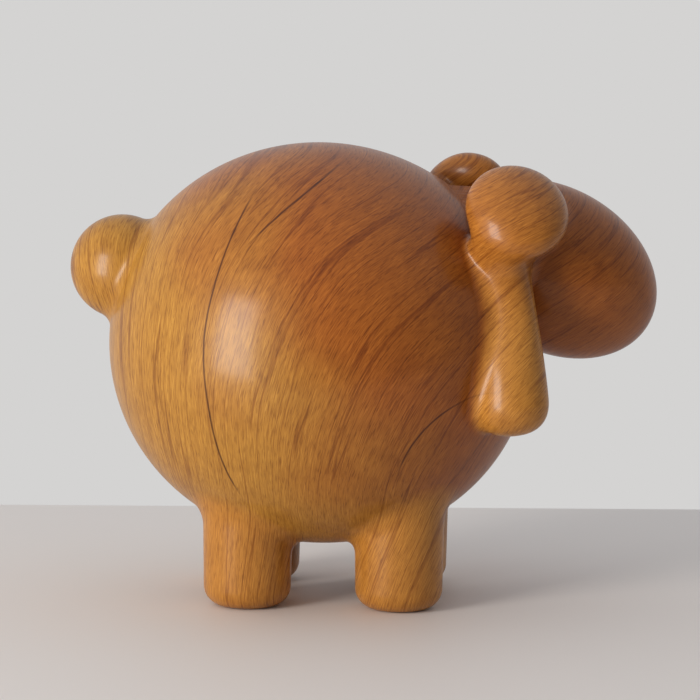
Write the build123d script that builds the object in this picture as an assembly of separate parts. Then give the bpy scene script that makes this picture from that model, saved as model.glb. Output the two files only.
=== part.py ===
from build123d import *
import math
import os

# All sizes in millimetres and degrees

# Body, a ball turned between the tail and the head, a little longer than it is high
body_half_length = 65.1
body_half_width = 62.2
body_dip = 6.0
belly_height = 15.3

# Head, an egg that looks down and to the sheep's left, its centre just off the ball's surface
head_half_length = 35.0
head_half_width = 25.1
head_bearing = 5.0
head_rise = 18.7
head_offset = 10.4
head_turn = 17.0
head_nod = 29.8
neck_blend = 3.0
neck_seat_margin = 3.4

# Tail, a round knob high on the back
tail_radius = 16.0
tail_rise = 20.7
tail_offset = 0.7
tail_blend = 2.6
tail_seat_margin = 0.9

# Legs, short pegs with rounded feet that widen a little upwards
leg_foot_radius = 13.2
leg_taper = 0.95
foot_round = 6.0
front_leg_bearing = 39.3
front_leg_plunge_angle = 57.7
rear_leg_bearing = 134.3
rear_leg_plunge_angle = 61.8
leg_blend_share = 0.29
leg_seat_margin = 1.0
leg_sleeve_margin = 1.5

# Ears, a round knob on the head and a drop that hangs from it against the ball
knob_radius = 15.3
knob_sweep_angle = 34.7
knob_rise = 29.1
knob_offset = 10.6
drop_radius = 11.9
drop_start_share = 0.54
drop_shares = [
    (0.12, 0.61),
    (0.36, 0.79),
    (0.60, 0.95),
    (0.80, 1.00),
    (0.88, 0.95),
    (0.94, 0.82),
    (0.98, 0.54),
]
waist_blend = 4.5
right_drop_top = (-2.4, -0.7, -7.5)
right_drop_bearing = -25.8
right_drop_rise = -19.1
right_drop_offset = 5.6
left_drop_top = (0.5, 2.2, -7.5)
left_drop_bearing = 41.5
left_drop_rise = -17.4
left_drop_offset = 8.3

# Dowels and their bores
bore_clearance = 0.05
bore_end_gap = 0.3
dowel_chamfer = 0.6
head_dowel_radius = 6.0
head_dowel_in_body = 22.0
head_dowel_in_head = 16.0
tail_dowel_radius = 4.0
tail_dowel_in_body = 14.0
tail_dowel_in_tail = 13.0
leg_dowel_radius = 4.0
leg_dowel_in_body = 15.0
leg_dowel_in_leg = 13.0
ear_dowel_radius = 2.5
ear_dowel_in_knob = 5.0
ear_dowel_in_head = 12.4
ear_dowel_outset = 2.5

# Two forms meet along an edge where it lies this close to both
touch_tolerance = 0.001
probe_shares = (0.25, 0.5)

# A half turn in degrees
half_turn_angle = 180.0
dip = math.radians(body_dip)
body_axis = Vector(math.cos(dip), 0, -math.sin(dip))
body_drop = math.hypot(body_half_width * math.cos(dip), body_half_length * math.sin(dip))
body_centre = Vector(0, 0, belly_height + body_drop)
leg_radius = leg_foot_radius + belly_height * math.tan(math.radians(leg_taper))


def heading(bearing, rise):
    # The bearing turns from the head's side to the sheep's left, the rise is above level
    level = math.cos(math.radians(rise))
    forward = level * math.cos(math.radians(bearing))
    aside = level * math.sin(math.radians(bearing))
    return Vector(forward, aside, math.sin(math.radians(rise)))


def skin_distance(direction, axis, half_length, half_width):
    # Distance from an egg's centre to its surface
    along = direction.dot(axis)
    return 1 / math.hypot(along / half_length, math.sqrt(1 - along ** 2) / half_width)


def off_the_ball(direction, offset):
    surface = skin_distance(direction, body_axis, body_half_length, body_half_width)
    return body_centre + direction * (surface + offset)


def aimed(solid, origin, direction, seam_side=(0, 1, 0)):
    # A turned face has its seam on the side named here
    return Plane(origin=origin, x_dir=seam_side, z_dir=direction).location * solid


def turned(curve, last_point, first_point):
    # Close the profile along the axis and turn it
    outline = Curve() + [curve, Line(last_point, first_point)]
    return revolve(make_face(Plane.XZ * outline), Axis.Z)


def egg(half_length, half_width):
    arc = EllipticalCenterArc(
        (0, 0), half_width, half_length, start_angle=-half_turn_angle / 2, arc_size=half_turn_angle
    )
    return turned(arc, (0, half_length), (0, -half_length))


def upright(radius, height):
    return Cylinder(radius, height, align=(Align.CENTER, Align.CENTER, Align.MIN))


def meeting_edges(joined, first, second):
    edges = []
    for edge in joined.edges():
        points = [edge @ share for share in probe_shares]
        apart = [form.distance_to(point) for form in (first, second) for point in points]
        if max(apart) < touch_tolerance:
            edges.append(edge)
    return edges


def blended(first, second, radius):
    joined = first + second
    return fillet(meeting_edges(joined, first, second), radius)


def leg_place(direction):
    # The leg stands straight under the point where its direction leaves the ball
    return Pos(direction.X * body_half_width, direction.Y * body_half_width, 0)


def leg_blend(direction):
    # The legs of a pair share the gap between them
    return leg_blend_share * 2 * (abs(direction.Y) * body_half_width - leg_radius)


def leg_form(direction):
    top_radius = leg_foot_radius + body_centre.Z * math.tan(math.radians(leg_taper))
    lowest = (Align.CENTER, Align.CENTER, Align.MIN)
    peg = Cone(leg_foot_radius, top_radius, body_centre.Z, align=lowest)
    peg = fillet(peg.edges().sort_by(Axis.Z)[0], foot_round)
    return leg_place(direction) * peg


def ear_form(knob_centre, outward, drop_top, drop_foot):
    hang = drop_foot - drop_top
    length = hang.length
    points = [(width * drop_radius, share * length) for share, width in drop_shares]
    start = (drop_start_share * drop_radius, 0)
    side = Spline(start, *points, (0, length))
    lid = Line((0, 0), start)
    outline = Curve() + [lid, side, Line((0, length), (0, 0))]
    drop = revolve(make_face(Plane.XZ * outline), Axis.Z)
    knob = aimed(Sphere(knob_radius), knob_centre, outward, (0, 0, 1))
    return blended(knob, aimed(drop, drop_top, hang, outward), waist_blend)


def seat_middle(direction, seat_radius):
    # Middle of the flat cut that leaves a disc of this radius on the ball
    surface = skin_distance(direction, body_axis, body_half_length, body_half_width)
    return body_centre + direction * math.sqrt(surface ** 2 - seat_radius ** 2)


def dowel_and_bore(start, direction, radius, before, after):
    # The dowel runs back from the start by before and on from it by after
    bore = upright(radius + bore_clearance, before + after + 2 * bore_end_gap)
    pin = upright(radius, before + after)
    pin = chamfer(pin.edges().filter_by(GeomType.CIRCLE), dowel_chamfer)
    bore = aimed(bore, start - direction * (before + bore_end_gap), direction)
    return aimed(pin, start - direction * before, direction), bore


# Places of the limbs, in a frame with its origin under the body's centre
toward_head = heading(head_bearing, head_rise)
head_centre = off_the_ball(toward_head, head_offset)
nose = heading(head_turn, -head_nod)
level_nose = heading(head_turn, 0)
level_side = heading(head_turn + half_turn_angle / 2, 0)
toward_tail = heading(half_turn_angle, tail_rise)
tail_centre = off_the_ball(toward_tail, tail_offset)
leg_directions = {
    "front_left_leg": heading(front_leg_bearing, -front_leg_plunge_angle),
    "front_right_leg": heading(-front_leg_bearing, -front_leg_plunge_angle),
    "rear_left_leg": heading(rear_leg_bearing, -rear_leg_plunge_angle),
    "rear_right_leg": heading(-rear_leg_bearing, -rear_leg_plunge_angle),
}

# The knobs lean back from straight aside, and each drop ends against the ball
knob_centres = {}
for name, side in (("right_ear", -level_side), ("left_ear", level_side)):
    sweep = math.radians(knob_sweep_angle)
    rise = math.radians(knob_rise)
    level = side * math.cos(sweep) - level_nose * math.sin(sweep)
    direction = level * math.cos(rise) + Vector(0, 0, math.sin(rise))
    surface = skin_distance(direction, nose, head_half_length, head_half_width)
    knob_centres[name] = head_centre + direction * (surface + knob_offset)
right_drop_foot = off_the_ball(heading(right_drop_bearing, right_drop_rise), right_drop_offset)
left_drop_foot = off_the_ball(heading(left_drop_bearing, left_drop_rise), left_drop_offset)

# One smooth form of ball, legs, tail and head
whole = aimed(egg(body_half_length, body_half_width), body_centre, body_axis, (0, 0, -1))
for direction in leg_directions.values():
    whole = blended(whole, leg_form(direction), leg_blend(direction))
whole = blended(whole, aimed(Sphere(tail_radius), tail_centre, toward_tail), tail_blend)
head_form = aimed(egg(head_half_length, head_half_width), head_centre, nose, (0, 0, -1))
whole = blended(whole, head_form, neck_blend)

# The ears are coped over the smooth form
right_top = knob_centres["right_ear"] + Vector(*right_drop_top)
left_top = knob_centres["left_ear"] + Vector(*left_drop_top)
right_ear = ear_form(knob_centres["right_ear"], -level_side, right_top, right_drop_foot)
left_ear = ear_form(knob_centres["left_ear"], level_side, left_top, left_drop_foot)
pieces = {"right_ear": right_ear - whole, "left_ear": left_ear - whole}

# Each limb parts from the ball at a flat seat square to the ball's radius
neck_seat_radius = head_half_width + neck_blend + neck_seat_margin
tail_seat_radius = tail_radius + tail_blend + tail_seat_margin
seats = {
    "head": (toward_head, seat_middle(toward_head, neck_seat_radius)),
    "tail": (toward_tail, seat_middle(toward_tail, tail_seat_radius)),
}
blocks = {}
for name, (direction, middle) in seats.items():
    blocks[name] = aimed(upright(body_half_width, 2 * body_half_width), middle, direction)
for name, direction in leg_directions.items():
    seat_radius = leg_radius + leg_blend(direction) + leg_seat_margin
    middle = seat_middle(direction, seat_radius)
    sleeve = leg_place(direction) * upright(seat_radius + leg_sleeve_margin, body_centre.Z)
    below = aimed(upright(body_half_width, 2 * body_half_width), middle, direction)
    seats[name] = (direction, middle)
    blocks[name] = sleeve & below
for name, block in blocks.items():
    pieces[name] = whole & block
pieces["body"] = whole - list(blocks.values())

# Head and tail dowels run square to their seats, leg dowels straight down
head_rod = (head_dowel_radius, head_dowel_in_body, head_dowel_in_head)
tail_rod = (tail_dowel_radius, tail_dowel_in_body, tail_dowel_in_tail)
leg_rod = (leg_dowel_radius, leg_dowel_in_body, leg_dowel_in_leg)
ear_rod = (ear_dowel_radius, ear_dowel_in_knob, knob_offset + ear_dowel_in_head)
rods = {
    "head": (seats["head"][1], toward_head, *head_rod),
    "tail": (seats["tail"][1], toward_tail, *tail_rod),
}
for name in leg_directions:
    direction, middle = seats[name]
    place = leg_place(direction).position
    drift = Vector(place.X - middle.X, place.Y - middle.Y, 0)
    start = Vector(place.X, place.Y, middle.Z - drift.dot(direction) / direction.Z)
    rods[name] = (start, Vector(0, 0, -1), *leg_rod)

# Ear dowels run from the knobs towards the middle of the head, just clear of the ball
for name, knob_centre in knob_centres.items():
    outward = (knob_centre - body_centre).normalized()
    inward = (head_centre - knob_centre).normalized()
    rods[name] = (knob_centre + outward * ear_dowel_outset, inward, *ear_rod)
bores = {name: [] for name in pieces}
for name, rod in rods.items():
    pieces[name + "_dowel"], bore = dowel_and_bore(*rod)
    mate = "head" if name in knob_centres else "body"
    for pierced in (name, mate):
        bores[pierced].append(bore)
for name, drilled in bores.items():
    pieces[name] = pieces[name] - drilled

# Move the origin to the middle of the figure, on the table
boxes = [solid.bounding_box() for solid in pieces.values()]
middle_x = (min(box.min.X for box in boxes) + max(box.max.X for box in boxes)) / 2
middle_y = (min(box.min.Y for box in boxes) + max(box.max.Y for box in boxes)) / 2
to_origin = Pos(-middle_x, -middle_y, 0)
os.makedirs("parts", exist_ok=True)
for name, solid in pieces.items():
    export_step(to_origin * solid, "parts/" + name + ".step")
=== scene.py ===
import math

import bmesh
import bpy
import numpy as np
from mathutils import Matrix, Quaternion, Vector


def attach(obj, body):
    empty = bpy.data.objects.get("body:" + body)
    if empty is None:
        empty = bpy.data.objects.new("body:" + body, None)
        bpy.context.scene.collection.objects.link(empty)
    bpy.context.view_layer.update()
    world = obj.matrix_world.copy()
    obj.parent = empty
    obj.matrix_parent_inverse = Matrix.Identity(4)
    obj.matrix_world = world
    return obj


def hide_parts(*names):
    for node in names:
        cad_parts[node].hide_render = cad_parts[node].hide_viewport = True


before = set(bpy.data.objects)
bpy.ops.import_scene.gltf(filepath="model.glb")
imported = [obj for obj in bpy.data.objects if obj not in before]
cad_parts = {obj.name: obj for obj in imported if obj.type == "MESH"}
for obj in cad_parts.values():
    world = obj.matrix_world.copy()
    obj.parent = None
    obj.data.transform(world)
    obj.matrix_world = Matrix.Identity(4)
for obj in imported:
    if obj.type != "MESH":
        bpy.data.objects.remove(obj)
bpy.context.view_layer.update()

# A wooden sheep, sanded to one flowing form and lacquered. Shapes are worked out in millimetres
mm = 0.001
up = np.array([0.0, 0.0, 1.0])


def heading(bearing, rise):
    # A direction from its bearing, which turns from the head's side to the sheep's left, and its
    # rise above level: cosines and sines of the two, in degrees
    level = math.cos(math.radians(rise))
    forward = level * math.cos(math.radians(bearing))
    aside = level * math.sin(math.radians(bearing))
    return np.array([forward, aside, math.sin(math.radians(rise))])


def dot(a, b):
    # The sum of the products of the parts, for whole arrays of vectors
    return np.sum(a * b, axis=-1)


def unit(a):
    # Each vector over its own length
    return a / np.linalg.norm(a, axis=-1, keepdims=True)


# Shapes are fields: about the distance to the surface in mm, negative inside. The ball is an egg
# on its side, whose axis dips towards the head
ball = {
    "middle": (-12.8, 0.0, 77.5),
    "halfLength": 65.1,
    "halfWidth": 62.2,
    "dip": 6.0,  # degrees
    "bellyLift": 1.5,  # how far the belly is sanded flatter than the egg
    "bellySpread": 34.0,  # degrees either side of straight down
    "around": 400,  # points round its axis, and along it from pole to pole
    "along": 220,
    "farthest": 90.0,  # the length of the rays that look for its surface
    "halvings": 26,
}
ballMiddle = np.array(ball["middle"])
ballAxis = heading(0, -ball["dip"])


def eggField(points, middle, axis, halfLength, halfWidth):
    # An egg x²/a² + r²/b² = 1 about its axis, made a distance by its slope: k (k - 1) / |slope|
    reach = points - middle
    along = dot(reach, axis)
    aside2 = np.maximum(dot(reach, reach) - along ** 2, 0)
    k = np.sqrt((along / halfLength) ** 2 + aside2 / halfWidth ** 2)
    slope = np.sqrt(along ** 2 / halfLength ** 4 + aside2 / halfWidth ** 4)
    return k * (k - 1) / np.maximum(slope, 1e-9)


def ballField(points):
    # The egg, with its belly lifted by a soft bell round the straight-down direction
    field = eggField(points, ballMiddle, ballAxis, ball["halfLength"], ball["halfWidth"])
    down = -unit(points - ballMiddle)[..., 2]
    off = np.degrees(np.arccos(np.clip(down, -1, 1))) / ball["bellySpread"]
    return field + ball["bellyLift"] * np.exp(-off ** 2)


# For each limb, off is how far its middle lies outside the ball's surface, blend is the radius of
# its fillet, core is how far from the ball's middle its skin closes, hidden inside the ball, and
# counts are its points from the tip to the crease and from there on over the ball
head = {
    "bearing": 5.0,
    "rise": 18.7,
    "off": 10.4,
    "turn": 17.0,  # degrees that it looks to the sheep's left
    "nod": 29.8,  # and down
    "halfLength": 35.0,
    "halfWidth": 25.1,
    "blend": 3.6,
    "core": 30.0,
    "around": 300,
    "counts": (110, 40),
}
towardHead = heading(head["bearing"], head["rise"])
nose = heading(head["turn"], -head["nod"])


def skinDistance(direction, axis, halfLength, halfWidth):
    # How far an egg's surface is from its centre in one direction
    along = float(dot(direction, axis))
    return 1 / math.hypot(along / halfLength, math.sqrt(1 - along ** 2) / halfWidth)


def offTheBall(direction, off):
    # The place in one direction from the ball's middle, so far outside its surface
    surface = skinDistance(direction, ballAxis, ball["halfLength"], ball["halfWidth"])
    return ballMiddle + direction * (surface + off)


headMiddle = offTheBall(towardHead, head["off"])


def headField(points):
    # An egg about the line to its nose
    return eggField(points, headMiddle, nose, head["halfLength"], head["halfWidth"])


tail = {
    "rise": 20.7,
    "off": 0.7,
    "radius": 16.0,
    "blend": 3.2,
    "core": 40.0,
    "around": 240,
    "counts": (80, 40),
}
towardTail = heading(180, tail["rise"])
tailMiddle = offTheBall(towardTail, tail["off"])


def tailField(points):
    # A ball: the distance from its middle, less its radius
    return np.linalg.norm(points - tailMiddle, axis=-1) - tail["radius"]


leg = {
    "footRadius": 13.2,
    "taper": 0.95,  # degrees
    "footRound": 6.0,
    "heart": 17.0,  # height of the point that its skin is seen from
    "blend": 5.2,
    "joinPower": 2.5,
    "core": 45.0,
    "around": 240,
    "counts": (110, 40),
}
# Where the legs leave the ball
legs = {
    "front_left_leg": heading(39.3, -57.7),
    "front_right_leg": heading(-39.3, -57.7),
    "rear_left_leg": heading(134.3, -61.8),
    "rear_right_leg": heading(-134.3, -61.8),
}


def legFoot(direction):
    # The place on the table straight below where the leg leaves the ball
    place = ballMiddle + direction * ball["halfWidth"]
    return np.array([place[0], place[1], 0.0])


def legField(points, foot):
    # A standing peg with a rounded lower rim: hypot of what passes its inner post and plate
    radius = leg["footRadius"] + points[..., 2] * math.tan(math.radians(leg["taper"]))
    out = np.hypot(points[..., 0] - foot[0], points[..., 1] - foot[1])
    past = out - (radius - leg["footRound"])
    under = leg["footRound"] - points[..., 2]
    corner = np.hypot(np.maximum(past, 0), np.maximum(under, 0))
    return corner + np.minimum(np.maximum(past, under), 0) - leg["footRound"]


# Each ear is a knob on the head and a drop that hangs from it against the ball
knob = {
    "sweep": 34.7,  # degrees back from straight aside
    "rise": 29.1,
    "off": 10.6,
    "half": (12.0, 14.7, 13.2),  # half its thickness, its width and its height
    "inner": 16.0,  # half its thickness on the side that reaches into the head
    "lean": 0.5,  # how far it swells outwards for each mm further down
    "swing": 0.15,  # and for each mm further forward
    "tilt": 0.3,  # how far it moves forward for each mm further down
}
drop = {
    "radius": 11.3,
    "topShare": 0.8,  # its radius at the top as a share of that at its widest place
    "topRound": 5.0,
    "widestShare": 0.8,  # where it is widest, as a share of the way down
    "swell": 1.25,
    "endPower": 2.5,
    "waistBlend": 7.5,
    "deep": 10.5,  # half its thickness
    "waistDip": 3.0,  # how much thinner it is at the waist
    "dipPower": 0.8,
}
# Fillets of the ears on the head and the ball, and the places along x and z where they change
earBlend = {
    "behindKnob": 3.0,
    "behindX": 38.0,
    "beforeKnob": 9.0,
    "beforeX": 62.0,
    "drop": 4.0,
    "dropMiddle": 4.4,
    "middleZ": 79.0,
    "middleReach": 20.0,
    "dropZ": 100.0,
    "knobZ": 112.0,
    "belowKnob": 5.4,  # the radius that the skin allows for below the knob
    "belowKnobShare": 1 / 3,  # reached this far down from the knob to the widest place
    "fade": 3.2,  # mm over which an ear's paler wood ends
}
earCounts = {"fan": 90, "line": 110, "grid": (110, 40)}
neckCore = np.array([38.0, 3.0, 98.0])  # inside both the ball and the head
ears = {
    "right_ear": {
        "side": -1,
        "facing": -107.7,  # the bearing of its outer face
        "narrow": 1.0,  # its knob's width as a share of the full one
        "knobShift": (-0.7, -1.7, 1.9),
        "top": (-6.2, 2.0, -11.5),  # the drop's top, from the knob's middle
        "bearing": -25.8,  # where the drop's foot lies on the ball
        "rise": -19.1,
        "off": 5.6,
        "footShift": (0.8, -9.8, 1.8),
    },
    "left_ear": {
        "side": 1,
        "facing": 141.7,
        "narrow": 0.72,
        "knobShift": (-2.6, 1.0, 1.9),
        "top": (0.5, 2.2, -7.5),
        "bearing": 41.5,
        "rise": -17.4,
        "off": 8.3,
        "footShift": (0.0, 2.0, 0.6),
    },
}


def smooth(value, low, high):
    # 3s² - 2s³, where s is the share of the way from low to high
    share = np.clip((value - low) / (high - low), 0, 1)
    return share * share * (3 - 2 * share)


def roundUnion(first, second, radius, power=2.0):
    # Two fields joined by a fillet: an arc of the radius between them, which starts crisply
    a = np.maximum(radius - first, 0) ** power
    b = np.maximum(radius - second, 0) ** power
    arc = radius - (a + b) ** (1 / power)
    far = np.minimum(first, second)
    return np.where((first < radius) & (second < radius), np.minimum(arc, far), far)


def knobMiddle(ear):
    # The head's middle, plus the way to its skin and beyond, in a direction swept back and up
    back = math.radians(knob["sweep"])
    rise = math.radians(knob["rise"])
    levelSide = heading(head["turn"] + 90, 0) * ear["side"]
    level = levelSide * math.cos(back) - heading(head["turn"], 0) * math.sin(back)
    direction = level * math.cos(rise) + up * math.sin(rise)
    surface = skinDistance(direction, nose, head["halfLength"], head["halfWidth"])
    return headMiddle + direction * (surface + knob["off"])


def earLine(ear):
    # The knob's middle, and the drop's top and foot
    middle = knobMiddle(ear)
    foot = offTheBall(heading(ear["bearing"], ear["rise"]), ear["off"])
    return middle, middle + np.array(ear["top"]), foot + np.array(ear["footShift"])


def byItsSlope(share, points, step=0.05):
    # A share of 1 on the surface becomes a distance when divided by its slope
    middle = share(points)
    slope2 = 0
    for side in np.eye(3) * step:
        slope2 = slope2 + ((share(points + side) - share(points - side)) / (2 * step)) ** 2
    return (middle - 1) / np.sqrt(np.maximum(slope2, 1e-6))


def dropField(points, top, foot, outwards):
    # A drop: it swells down its axis as a sine, dips at the waist as a sine squared where it
    # faces outwards, and ends in a blunt superellipse
    length = np.linalg.norm(foot - top)
    axis = (foot - top) / length
    out = unit(outwards - dot(outwards, axis) * axis)
    across = np.cross(axis, out)
    widest = drop["widestShare"] * length

    def share(places):
        reach = places - top
        along = dot(reach, axis)
        rate = np.clip(along / widest, 0, 1)
        swell = np.sin(rate * math.pi / 2) ** drop["swell"]
        radius = drop["radius"] * (drop["topShare"] + (1 - drop["topShare"]) * swell)
        deep = drop["deep"] - drop["waistDip"] * np.sin(math.pi * rate ** drop["dipPower"]) ** 2
        end = np.maximum(along - widest, 0) / (length - widest)
        above = np.minimum(along, 0) / drop["topRound"]
        flat = (dot(reach, across) / radius) ** 2 + (dot(reach, out) / deep) ** 2
        section = np.sqrt(flat + above ** 2)
        power = drop["endPower"]
        return (end ** power + section ** power) ** (1 / power)

    return byItsSlope(share, points)


def knobField(points, ear):
    # A flattened ball whose slices are pushed outwards the lower and the further forward they
    # lie, and forwards the lower they lie
    out = heading(ear["facing"], 0)
    ahead = heading(ear["facing"] - 90 * ear["side"], 0)
    reach = points - (knobMiddle(ear) + np.array(ear["knobShift"]))
    thick, wide, high = knob["half"]
    wide = wide * ear["narrow"]
    z = reach[..., 2]
    f = dot(reach, ahead) + knob["tilt"] * z
    o = dot(reach, out) + knob["lean"] * z + knob["swing"] * f
    thick = np.where(o < 0, knob["inner"], thick)
    o = o / thick
    f = f / wide
    z = z / high
    length = np.sqrt(o * o + f * f + z * z)
    slopeAhead = f / wide + knob["swing"] * o / thick
    slopeUp = z / high + knob["lean"] * o / thick + knob["tilt"] * slopeAhead
    slope = np.sqrt((o / thick) ** 2 + slopeAhead ** 2 + slopeUp ** 2)
    return (length - 1) * length / np.maximum(slope, 1e-6)


def earField(points, ear):
    # The knob and the drop, joined by a wide fillet at the waist
    middle, top, foot = earLine(ear)
    dropPart = dropField(points, top, foot, heading(ear["facing"], 0))
    return roundUnion(knobField(points, ear), dropPart, drop["waistBlend"])


def earJoin(base, earPart, points):
    # The fillet is tight behind the knob, wide in front of it, and widest half way down the drop
    x, z = points[..., 0], points[..., 2]
    behind, before = earBlend["behindKnob"], earBlend["beforeKnob"]
    knobBlend = behind + (before - behind) * smooth(x, earBlend["behindX"], earBlend["beforeX"])
    middleShare = np.exp(-((z - earBlend["middleZ"]) / earBlend["middleReach"]) ** 2)
    dropBlend = earBlend["drop"] + (earBlend["dropMiddle"] - earBlend["drop"]) * middleShare
    upper = smooth(z, earBlend["dropZ"], earBlend["knobZ"])
    return roundUnion(base, earPart, dropBlend + (knobBlend - dropBlend) * upper)


def headAndBall(points):
    # What the ears lie on
    return roundUnion(ballField(points), headField(points), head["blend"])


def slopeOf(field, points, step=0.02):
    # How fast the field rises along x, y and z: the difference across two small steps
    parts = [(field(points + side) - field(points - side)) / (2 * step) for side in np.eye(3) * step]
    return np.stack(parts, axis=-1)


def settle(field, points, rounds=5, longest=4.0, flattest=0.05):
    # Newton's steps down the slope, field · slope / slope², until the field is zero
    for turn in range(rounds):
        slope = slopeOf(field, points)
        move = (field(points) / np.maximum(dot(slope, slope), flattest))[..., None] * slope
        points = points - np.clip(move, -longest, longest)
    return points


def alongRays(field, starts, directions, far, rounds=16):
    # Halving: the place on each ray where the field turns from inside to outside
    low = np.zeros(starts.shape[:-1])
    high = np.full(starts.shape[:-1], far)
    for turn in range(rounds):
        middle = (low + high) / 2
        inside = field(starts + directions * middle[..., None]) < 0
        low = np.where(inside, middle, low)
        high = np.where(inside, high, middle)
    return starts + directions * low[..., None]


# How a limb's skin finds its crease with the base, runs over the fillet and dives under the base
skin = {
    "lookFrom": 0.3,  # radians from straight out
    "lookTo": 3.0,
    "looks": 28,
    "halvings": 12,
    "evenedOver": 10,  # columns on either hand
    "flare": 2.6,  # its length past the crease, in radii of the fillet
    "diveFrom": 0.97,  # in radii of the fillet from the limb
    "diveOver": 0.8,
    "under": 0.012,  # mm under the base's skin, so that no face lies in another
    "deeper": 0.25,  # and this much more at the end of the dive
    "closing": 5,  # points from there to the core
}


def evened(values):
    # The mean of each side's value and its neighbours' on either hand, so that a crease runs on
    # smoothly past a notch
    over = skin["evenedOver"]
    return np.mean([np.roll(values, shift, axis=0) for shift in range(-over, over + 1)], axis=0)


def limbGrid(limb, base, join, blend, fan, core, counts, far=70.0):
    # Rays fan from the limb's heart line, from straight out round to its crease with the base.
    # From the crease the grid runs on over the base, past the fillet, dives just under it and
    # closes at a core inside the base
    hearts, outs, sides = fan
    across, onward = counts

    def atAngle(angle, rounds=14):
        rays = outs * np.cos(angle)[..., None] + sides * np.sin(angle)[..., None]
        return alongRays(limb, np.broadcast_to(hearts, rays.shape), rays, far, rounds)

    # The crease is where the limb's surface meets the base: a coarse look round, then halving
    steps = np.linspace(skin["lookFrom"], skin["lookTo"], skin["looks"])
    looks = np.broadcast_to(steps[:, None], (len(steps), len(hearts)))
    deepness = base(atAngle(looks))
    inside = deepness < 0
    first = np.where(inside.any(axis=0), np.argmax(inside, axis=0), np.argmin(deepness, axis=0))
    low = np.where(inside.any(axis=0), steps[np.maximum(first - 1, 0)], steps[first])
    high = steps[first]
    for turn in range(skin["halvings"]):
        middle = (low + high) / 2
        reached = base(atAngle(middle, 18)) < 0
        high = np.where(reached, middle, high)
        low = np.where(reached, low, middle)
    low = evened(low)
    crease = atAngle(low, 20)
    over = atAngle(np.linspace(0, 1, across)[:, None] * low)
    normal = unit(slopeOf(base, crease))
    limbNormal = unit(slopeOf(limb, crease))
    away = unit(evened(limbNormal - dot(limbNormal, normal)[:, None] * normal))
    shares = np.linspace(0, 1, onward)[1:, None, None]
    flare = settle(base, crease + away * np.reshape(blend, (-1, 1)) * skin["flare"] * shares)
    grid = np.concatenate([over, flare])
    grid = settle(lambda points: join(base(points), limb(points), points), grid)

    # The dive starts where the fillet ends
    past = (limb(grid) - blend * skin["diveFrom"]) / (blend * skin["diveOver"])
    onBase = np.arange(len(grid))[:, None] >= across
    depth = np.where(onBase, skin["under"] + skin["deeper"] * np.clip(past, 0, 1) ** 2, 0)
    grid = grid - depth[..., None] * unit(slopeOf(base, grid))
    inward = np.linspace(0, 1, skin["closing"])[1:, None, None]
    return np.concatenate([grid, grid[-1] + (core - grid[-1]) * inward])


def meshFromGrid(name, grid):
    # A grid that runs round in its second parameter. Points less than 1e-7 m apart are merged at
    # poles and seams, and every face is turned outwards
    rows, columns = grid.shape[:2]
    points = grid.reshape(-1, 3) * mm
    row = np.arange(rows - 1)[:, None] * columns
    column = np.arange(columns)[None, :]
    nextColumn = (column + 1) % columns
    corners = [row + column, row + nextColumn, row + columns + nextColumn, row + columns + column]
    faces = np.stack(corners, axis=-1).reshape(-1, 4)
    mesh = bpy.data.meshes.new(name)
    mesh.vertices.add(len(points))
    mesh.vertices.foreach_set("co", points.ravel())
    mesh.loops.add(faces.size)
    mesh.loops.foreach_set("vertex_index", faces.ravel())
    mesh.polygons.add(len(faces))
    mesh.polygons.foreach_set("loop_start", np.arange(0, faces.size, 4))
    mesh.polygons.foreach_set("use_smooth", np.ones(len(faces), bool))
    mesh.update(calc_edges=True)
    work = bmesh.new()
    work.from_mesh(mesh)
    bmesh.ops.remove_doubles(work, verts=work.verts, dist=1e-7)
    bmesh.ops.dissolve_degenerate(work, edges=work.edges, dist=1e-8)
    bmesh.ops.recalc_face_normals(work, faces=work.faces)
    work.to_mesh(mesh)
    work.free()
    return mesh


pieces = {}
# The paler wood of an ear or a leg loses this share of its paleness from one height to the other
paleness = {"lost": 0.55, "fromZ": 82.0, "toZ": 112.0}


def addPiece(name, grid, limb=None, fade=1.0):
    # Makes the mesh and hands it to the frame. Its paler wood fades out over the length fade,
    # measured from the limb's own surface
    mesh = meshFromGrid("wooden_" + name, grid)
    piece = bpy.data.objects.new("wooden_" + name, mesh)
    bpy.context.scene.collection.objects.link(piece)
    places = np.empty(len(mesh.vertices) * 3)
    mesh.vertices.foreach_get("co", places)
    places = places.reshape(-1, 3) / mm
    pale = np.zeros(len(places)) if limb is None else 1 - smooth(limb(places), 0, fade)
    pale = pale * (1 - paleness["lost"] * smooth(places[:, 2], paleness["fromZ"], paleness["toZ"]))
    mesh.attributes.new("paleWood", "FLOAT", "POINT").data.foreach_set("value", pale)
    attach(piece, "root")
    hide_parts(name)
    pieces[name] = piece
    print("made", name, len(mesh.polygons), "faces")


# Body: rays from the middle of the ball at even angles, from pole to pole about its axis
around = np.linspace(0, 2 * math.pi, ball["around"], endpoint=False)[None, :, None]
along = np.linspace(0, math.pi, ball["along"])[:, None, None]
ballUp = unit(up - dot(up, ballAxis) * ballAxis)
ballSide = np.cross(ballAxis, ballUp)
aside = ballUp * np.cos(around) + ballSide * np.sin(around)
rays = ballAxis * np.cos(along) + aside * np.sin(along)
starts = np.broadcast_to(ballMiddle, rays.shape)
addPiece("body", alongRays(ballField, starts, rays, ball["farthest"], ball["halvings"]))


def roundAbout(middle, out, count):
    # One heart, and sides that turn once about the outward direction
    turn = np.linspace(0, 2 * math.pi, count, endpoint=False)[:, None]
    side = unit(np.cross(out, up))
    other = np.cross(out, side)
    sides = side * np.cos(turn) + other * np.sin(turn)
    return np.tile(middle, (count, 1)), np.tile(out, (count, 1)), sides


def plainJoin(blend, power=2.0):
    # A join with the same fillet all the way round
    return lambda base, limb, points: roundUnion(base, limb, blend, power)


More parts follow.
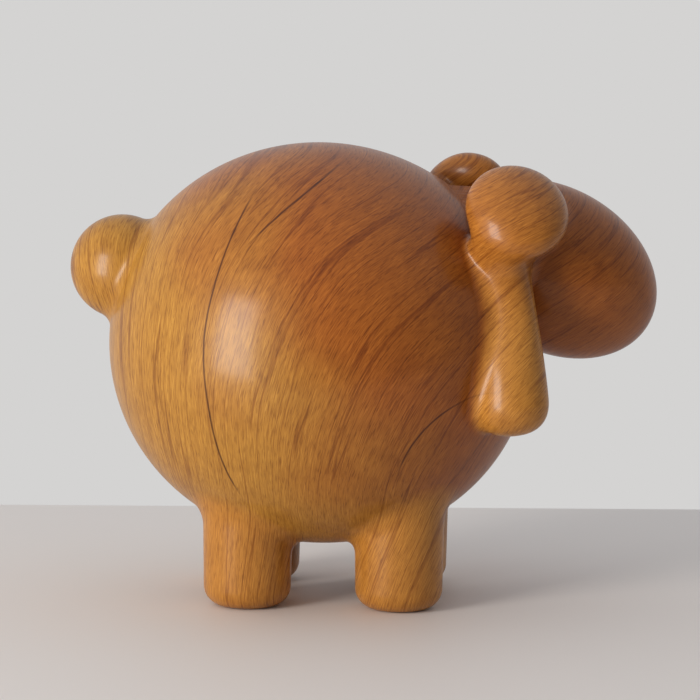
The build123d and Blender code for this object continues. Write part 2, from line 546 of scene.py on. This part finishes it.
fan = roundAbout(headMiddle, towardHead, head["around"])
core = ballMiddle + towardHead * head["core"]
join = plainJoin(head["blend"])
addPiece("head", limbGrid(headField, ballField, join, head["blend"], fan, core, head["counts"]))

fan = roundAbout(tailMiddle, towardTail, tail["around"])
core = ballMiddle + towardTail * tail["core"]
join = plainJoin(tail["blend"])
addPiece("tail", limbGrid(tailField, ballField, join, tail["blend"], fan, core, tail["counts"]))

# Straight down, but for a trace, so that roundAbout can still find a side to it
down = np.array([1e-6, 0.0, -1.0])
join = plainJoin(leg["blend"], leg["joinPower"])
for name, direction in legs.items():
    foot = legFoot(direction)
    fan = roundAbout(foot + up * leg["heart"], down, leg["around"])

    def oneLeg(points, foot=foot):
        return legField(points, foot)

    core = ballMiddle + direction * leg["core"]
    grid = limbGrid(oneLeg, ballField, join, leg["blend"], fan, core, leg["counts"])
    addPiece(name, grid, oneLeg, leg["blend"])


def stadiumFan(ear, counts):
    # Hearts down a line from the knob to the drop's widest place and back. Outwards turns evenly
    # from the base's outward direction at one end to that at the other
    middle, top, foot = earLine(ear)
    low = top + (foot - top) * drop["widestShare"]
    lineAxis = unit(low - middle)
    fanTurn = np.linspace(0, math.pi, counts["fan"])
    line = np.linspace(0, 1, counts["line"])[1:-1]
    fanOnes = np.ones(counts["fan"])
    lineOnes = np.ones(len(line))
    share = np.concatenate([fanOnes * 0, line, fanOnes, 1 - line])[:, None]
    turn = [fanTurn, lineOnes * math.pi, fanTurn + math.pi, lineOnes * 2 * math.pi]
    turn = np.concatenate(turn)[:, None]
    ends = unit(slopeOf(headAndBall, np.stack([middle, low])))
    outs = ends[0] + (ends[1] - ends[0]) * share
    outs = unit(outs - dot(outs, lineAxis)[:, None] * lineAxis)
    sides = np.cross(outs, lineAxis) * np.cos(turn) - lineAxis * np.sin(turn)
    return (middle + (low - middle) * share, outs, sides), share[:, 0]


for name, ear in ears.items():

    def oneEar(points, ear=ear):
        return earField(points, ear)

    fan, share = stadiumFan(ear, earCounts)
    below = smooth(share, 0, earBlend["belowKnobShare"])
    blend = earBlend["beforeKnob"] + (earBlend["belowKnob"] - earBlend["beforeKnob"]) * below
    grid = limbGrid(oneEar, headAndBall, earJoin, blend, fan, neckCore, earCounts["grid"])
    addPiece(name, grid, oneEar, earBlend["fade"])


def linear(hexColour):
    # sRGB hex to linear light: dark parts over 12.92, the others to the power of 2.4
    parts = [int(hexColour[place:place + 2], 16) / 255 for place in (1, 3, 5)]
    return [(v / 12.92 if v <= 0.04045 else ((v + 0.055) / 1.055) ** 2.4) for v in parts] + [1.0]


def node(tree, kind, links=(), give=0, **settings):
    # Adds a node with its settings, links or sets its inputs, and gives back one output
    made = tree.nodes.new("ShaderNode" + kind)
    for name, value in settings.items():
        setattr(made, name, value)
    shown = [socket for socket in made.inputs if socket.enabled]
    named = {socket.name: socket for socket in reversed(shown)}
    for place, value in dict(links).items():
        socket = shown[place] if isinstance(place, int) else named[place]
        if isinstance(value, bpy.types.NodeSocket):
            tree.links.new(value, socket)
        else:
            socket.default_value = value
    outputs = [socket for socket in made.outputs if socket.enabled]
    return outputs[give] if isinstance(give, int) else made.outputs[give]


# Teak, turned and sanded, under a satin clear lacquer: fine dark and pale dashes run along the
# grain on top of broader growth rings, and the lacquer gives soft-edged window highlights
teak = {
    "golden": "#AE7B30",
    "brown": "#9B561B",
    "pale": "#B57A31",
    "browning": (0.02, 0.0, 0.011),  # for each mm towards the head, aside and up
    "ringTint": (0.72, 0.62, 0.5, 1.0),
    "lineTint": (0.6, 0.48, 0.38, 1.0),
    "dashTint": (0.52, 0.42, 0.34, 1.0),
    "paleDashTint": (1.45, 1.6, 1.9, 1.0),
    "crackTint": (0.28, 0.2, 0.16, 1.0),
    "ringSpacing": 1.7,  # mm, and the lengths over which a pattern changes along the grain
    "ringLength": 160.0,
    "lineSpacing": 3.6,
    "blotch": 9.0,
    "dashWidth": 0.27,
    "dashLength": 5.0,
    "poreWidth": 0.22,  # real pores are finer than a pixel, so these are drawn twice as coarse
    "poreLength": 2.4,
    "driftLength": 45.0,  # a slow noise that bends the layers, the browning and the cracks
    "layerDrift": 5.0,
    "brownDrift": 1.5,
    "crackDrift": 3.0,
    "crackEnd": 8.0,  # mm over which a crack thins out
    "sunkStrength": 0.25,
    "sunkDepth": 0.00012,  # m
    "roughness": 0.45,
    "specular": 0.2,
    "coat": 0.35,
    "coatRoughness": 0.2,
}
# How each pattern shows: the value where it begins, the one where it is full, and how strong then
shows = {
    "brown": (-0.1, 1.2, 1.0),
    "blotches": (0.45, 0.75, 0.4),
    "rings": (0.45, 0.75, 0.2),
    "lines": (0.02, 0.002, 0.8),
    "darkDashes": (0.52, 0.7, 0.55),
    "paleDashes": (0.46, 0.3, 0.5),
    "pores": (0.56, 0.72, 0.55),
    "cracks": (0.42, 0.1, 1.0),  # mm from a crack's middle line
    "nearSide": (-2.0, -8.0, 1.0),  # mm to the sheep's left, since cracks are on its right
}
# The growth layers: which way they lie, and how they turn for each 100 mm
growth = {
    "across": (1.0, 0.08, -0.35),
    "turnX": (-0.17, 0.3, -0.71),
    "turnY": (0.3, 0.78, -0.04),
    "turnZ": (-0.71, -0.04, -0.09),
}
# Hairline drying cracks, each an arc seen from the sheep's right: middle along x and z, radius,
# and the lowest and highest z it reaches, in mm from the ball's middle
cracks = {
    "long": (58.1, 2.3, 89.75, -42.0, 52.0),
    "high": (134.9, -120.8, 219.5, 34.0, 61.0),
    "low": (61.4, -43.6, 37.0, -34.0, -6.0),
}


def teakMaterial():
    # One colour after another is mixed in, from broad changes to fine ones
    material = bpy.data.materials.new("lacqueredTeak")
    material.use_nodes = True
    tree = material.node_tree
    shader = tree.nodes["Principled BSDF"]
    place = node(tree, "TexCoord", give="Object")
    # q: mm from the ball's middle
    links = {0: place, 1: (1 / mm, 1 / mm, 1 / mm), 2: list(-ballMiddle)}
    q = node(tree, "VectorMath", links, operation="MULTIPLY_ADD")
    drift = node(tree, "TexNoise", {"Vector": q, "Scale": 1 / teak["driftLength"], "Detail": 1.0})

    # Depth in the growth layers: q·across + half q·(turn q) / 100, with a slow wobble
    turns = [
        node(tree, "VectorMath", {0: q, 1: growth[key]}, operation="DOT_PRODUCT")
        for key in ("turnX", "turnY", "turnZ")
    ]
    turned = node(tree, "CombineXYZ", dict(enumerate(turns)))
    straight = node(tree, "VectorMath", {0: q, 1: growth["across"]}, operation="DOT_PRODUCT")
    curved = node(tree, "VectorMath", {0: q, 1: turned}, operation="DOT_PRODUCT")
    depth = node(tree, "Math", {0: curved, 1: 0.005, 2: straight}, operation="MULTIPLY_ADD")
    links = {0: drift, 1: teak["layerDrift"], 2: depth}
    depth = node(tree, "Math", links, operation="MULTIPLY_ADD")

    def pattern(width, length, detail):
        # Noise that changes fast across the layers and slowly along them
        slow = node(tree, "VectorMath", {0: q, "Scale": 1 / length}, operation="SCALE")
        fast = node(tree, "Math", {0: depth, 1: 1 / width}, operation="MULTIPLY")
        links = {"Vector": slow, "W": fast, "Scale": 1.0, "Detail": detail}
        return node(tree, "TexNoise", links, noise_dimensions="4D")

    def between(value, begins, full, strength=1.0):
        # A smooth rise from 0 to the strength
        links = {"Value": value, "From Min": begins, "From Max": full, "To Max": strength}
        return node(tree, "MapRange", links, interpolation_type="SMOOTHSTEP")

    def mix(share, first, second, blend="MIX"):
        # From the first colour to the second by the share
        links = {"Factor": share, "A": first, "B": second}
        return node(tree, "Mix", links, data_type="RGBA", blend_type=blend)

    rings = pattern(teak["ringSpacing"], teak["ringLength"], 2.0)
    lines = pattern(teak["lineSpacing"], teak["ringLength"], 1.0)
    dashes = pattern(teak["dashWidth"], teak["dashLength"], 1.0)
    pores = pattern(teak["poreWidth"], teak["poreLength"], 0.0)

    # Golden at the tail's side and low down, browner towards the head's side and the top
    browner = node(tree, "VectorMath", {0: q, 1: teak["browning"]}, operation="DOT_PRODUCT")
    links = {0: drift, 1: teak["brownDrift"], 2: browner}
    browner = node(tree, "Math", links, operation="MULTIPLY_ADD")
    browner = between(browner, *shows["brown"])
    colour = mix(browner, linear(teak["golden"]), linear(teak["brown"]))
    paleShare = node(tree, "Attribute", give="Fac", attribute_name="paleWood")
    colour = mix(paleShare, colour, linear(teak["pale"]))
    blotches = node(tree, "TexNoise", {"Vector": q, "Scale": 1 / teak["blotch"], "Detail": 2.0})
    colour = mix(between(blotches, *shows["blotches"]), colour, teak["ringTint"], "MULTIPLY")
    colour = mix(between(rings, *shows["rings"]), colour, teak["ringTint"], "MULTIPLY")

    # Thin dark lines between layers, where their noise passes its middle
    line = node(tree, "Math", {0: lines, 1: 0.5}, operation="SUBTRACT")
    line = node(tree, "Math", {0: line}, operation="ABSOLUTE")
    colour = mix(between(line, *shows["lines"]), colour, teak["lineTint"], "MULTIPLY")
    colour = mix(between(dashes, *shows["darkDashes"]), colour, teak["dashTint"], "MULTIPLY")
    colour = mix(between(dashes, *shows["paleDashes"]), colour, teak["paleDashTint"], "MULTIPLY")
    colour = mix(between(pores, *shows["pores"]), colour, teak["dashTint"], "MULTIPLY")

    # Cracks: where |distance from the arc's middle - radius| is nearly nothing. The drift's own
    # average, a half, is taken off again
    split = node(tree, "SeparateXYZ", {0: q})
    height = split.node.outputs["Z"]
    nearSide = between(split.node.outputs["Y"], *shows["nearSide"])
    opened = None
    for middleX, middleZ, radius, lowest, highest in cracks.values():
        away = node(tree, "VectorMath", {0: q, 1: (middleX, 0, middleZ)}, operation="SUBTRACT")
        away = node(tree, "VectorMath", {0: away, 1: (1, 0, 1)}, operation="MULTIPLY")
        far = node(tree, "VectorMath", {0: away}, give="Value", operation="LENGTH")
        links = {0: drift, 1: teak["crackDrift"], 2: far}
        wobbled = node(tree, "Math", links, operation="MULTIPLY_ADD")
        links = {0: wobbled, 1: radius + teak["crackDrift"] / 2}
        off = node(tree, "Math", links, operation="SUBTRACT")
        off = node(tree, "Math", {0: off}, operation="ABSOLUTE")
        line = between(off, *shows["cracks"])
        for edge, inner in ((lowest, teak["crackEnd"]), (highest, -teak["crackEnd"])):
            shown = between(height, edge, edge + inner)
            line = node(tree, "Math", {0: line, 1: shown}, operation="MULTIPLY")
        links = {0: opened, 1: line}
        opened = node(tree, "Math", links, operation="MAXIMUM") if opened else line
    opened = node(tree, "Math", {0: opened, 1: nearSide}, operation="MULTIPLY")
    colour = mix(opened, colour, teak["crackTint"], "MULTIPLY")
    tree.links.new(colour, shader.inputs["Base Color"])

    # The lacquer has sunk a little into the pores, and half as much into the dashes
    sunk = node(tree, "Math", {0: dashes, 1: 0.5, 2: pores}, operation="MULTIPLY_ADD")
    links = {"Strength": teak["sunkStrength"], "Distance": teak["sunkDepth"], "Height": sunk}
    tree.links.new(node(tree, "Bump", links), shader.inputs["Normal"])
    shader.inputs["Roughness"].default_value = teak["roughness"]
    shader.inputs["Specular IOR Level"].default_value = teak["specular"]
    shader.inputs["Coat Weight"].default_value = teak["coat"]
    shader.inputs["Coat Roughness"].default_value = teak["coatRoughness"]
    return material


wood = teakMaterial()
for piece in pieces.values():
    piece.data.materials.append(wood)

# Beech dowels, turned and left raw inside the joints: pale, matt, with short flecks
beech = {
    "pale": "#D9B98C",
    "fleck": "#B98F5E",
    "fleckWidth": 0.5,
    "fleckLength": 4.0,
    "fleckBegins": 0.5,
    "fleckFull": 0.7,
    "roughness": 0.7,
}


def beechMaterial():
    # Noise that is drawn out along z
    material = bpy.data.materials.new("turnedBeech")
    material.use_nodes = True
    tree = material.node_tree
    place = node(tree, "TexCoord", give="Object")
    fine = 1 / (beech["fleckWidth"] * mm)
    scale = (fine, fine, 1 / (beech["fleckLength"] * mm))
    stretched = node(tree, "VectorMath", {0: place, 1: scale}, operation="MULTIPLY")
    flecks = node(tree, "TexNoise", {"Vector": stretched, "Scale": 1.0, "Detail": 2.0})
    links = {"Value": flecks, "From Min": beech["fleckBegins"], "From Max": beech["fleckFull"]}
    share = node(tree, "MapRange", links)
    links = {"Factor": share, "A": linear(beech["pale"]), "B": linear(beech["fleck"])}
    colour = node(tree, "Mix", links, data_type="RGBA")
    shader = tree.nodes["Principled BSDF"]
    tree.links.new(colour, shader.inputs["Base Color"])
    shader.inputs["Roughness"].default_value = beech["roughness"]
    return material


dowelWood = beechMaterial()
for name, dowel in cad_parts.items():
    if name.endswith("dowel"):
        for slot in dowel.material_slots:
            slot.material = dowelWood
print("materials made")

# Camera at the photograph's viewing angle: places in mm, angles in degrees
view = {
    "aim": (-3.86, 0.43, 75.95),
    "distance": 1300.0,
    "azimuth": 2.8,
    "elevation": 7.82,
    "roll": 0.69,
    "angle": 9.473,
}
azimuth = math.radians(view["azimuth"])
elevation = math.radians(view["elevation"])
level = math.cos(elevation)
forward = Vector((-math.sin(azimuth) * level, math.cos(azimuth) * level, -math.sin(elevation)))
camera = bpy.data.objects.new("camera", bpy.data.cameras.new("camera"))
bpy.context.scene.collection.objects.link(camera)
camera.location = (Vector(view["aim"]) - forward * view["distance"]) * mm
camera.rotation_mode = "QUATERNION"
turn = Quaternion((0, 0, 1), math.radians(view["roll"]))
camera.rotation_quaternion = forward.to_track_quat("-Z", "Y") @ turn
camera.data.angle = math.radians(view["angle"])
bpy.context.scene.camera = camera

# A table top of matt painted board, which shows soft shade under the feet. The pale wall behind
# it is the world's colour as the camera sees it
room = {
    "tableFront": -330.0,
    "tableBack": 154.5,
    "backTurn": 4.5,  # degrees that the back edge is turned
    "halfWidth": 2500.0,
    "tableColour": "#E6E1DE",
    "tableRoughness": 0.6,
    "wallColour": "#D4D3D2",
}


def boardMaterial():
    # One even, matt colour
    material = bpy.data.materials.new("paintedBoard")
    material.use_nodes = True
    shader = material.node_tree.nodes["Principled BSDF"]
    shader.inputs["Base Color"].default_value = linear(room["tableColour"])
    shader.inputs["Roughness"].default_value = room["tableRoughness"]
    return material


wide, front, back = room["halfWidth"], room["tableFront"], room["tableBack"]
turned = wide * math.tan(math.radians(room["backTurn"]))
corners = [(-wide, front, 0), (wide, front, 0), (wide, back + turned, 0), (-wide, back - turned, 0)]
mesh = bpy.data.meshes.new("table")
mesh.from_pydata([Vector(corner) * mm for corner in corners], [], [(0, 1, 2, 3)])
mesh.materials.append(boardMaterial())
table = bpy.data.objects.new("table", mesh)
bpy.context.scene.collection.objects.link(table)

# One tall window at the camera's left, and the even light of a white room
daylight = {
    "azimuth": 43.0,  # degrees left of straight on
    "distance": 1400.0,
    "width": 500.0,
    "lowest": -300.0,
    "highest": 820.0,
    "power": 22.5,
    "colour": "#FFF8F0",
    "roomBack": "#D5D6D8",  # the pale wall's side and above
    "roomFront": "#807E7C",  # the dimmer room behind the camera
    "towardsBack": (-0.35, 0.65, 0.67),
    "frontUntil": -0.5,  # cosines of the angle to that direction
    "backFrom": 0.7,
}
bearing = math.radians(daylight["azimuth"])
middleHeight = (daylight["lowest"] + daylight["highest"]) / 2
toWindow = Vector((-math.sin(bearing), -math.cos(bearing), 0)) * daylight["distance"]
windowLight = bpy.data.lights.new("window", "AREA")
windowLight.shape = "RECTANGLE"
windowLight.size = daylight["width"] * mm
windowLight.size_y = (daylight["highest"] - daylight["lowest"]) * mm
windowLight.energy = daylight["power"]
windowLight.color = linear(daylight["colour"])[:3]
window = bpy.data.objects.new("window", windowLight)
bpy.context.scene.collection.objects.link(window)
window.location = (toWindow + Vector((0, 0, middleHeight))) * mm
window.rotation_mode = "QUATERNION"
window.rotation_quaternion = (-toWindow).to_track_quat("-Z", "Y")

world = bpy.data.worlds.new("room")
world.use_nodes = True
background = world.node_tree.nodes["Background"]
look = node(world.node_tree, "TexCoord", give="Generated")
links = {0: look, 1: daylight["towardsBack"]}
towards = node(world.node_tree, "VectorMath", links, operation="DOT_PRODUCT")
links = {"Value": towards, "From Min": daylight["frontUntil"], "From Max": daylight["backFrom"]}
share = node(world.node_tree, "MapRange", links)
links = {"Factor": share, "A": linear(daylight["roomFront"]), "B": linear(daylight["roomBack"])}
roomColour = node(world.node_tree, "Mix", links, data_type="RGBA")
seen = node(world.node_tree, "LightPath", give="Is Camera Ray")
links = {"Factor": seen, "A": roomColour, "B": linear(room["wallColour"])}
seenColour = node(world.node_tree, "Mix", links, data_type="RGBA")
world.node_tree.links.new(seenColour, background.inputs["Color"])
bpy.context.scene.world = world
bpy.context.scene.view_settings.view_transform = "Standard"
print("stage made")
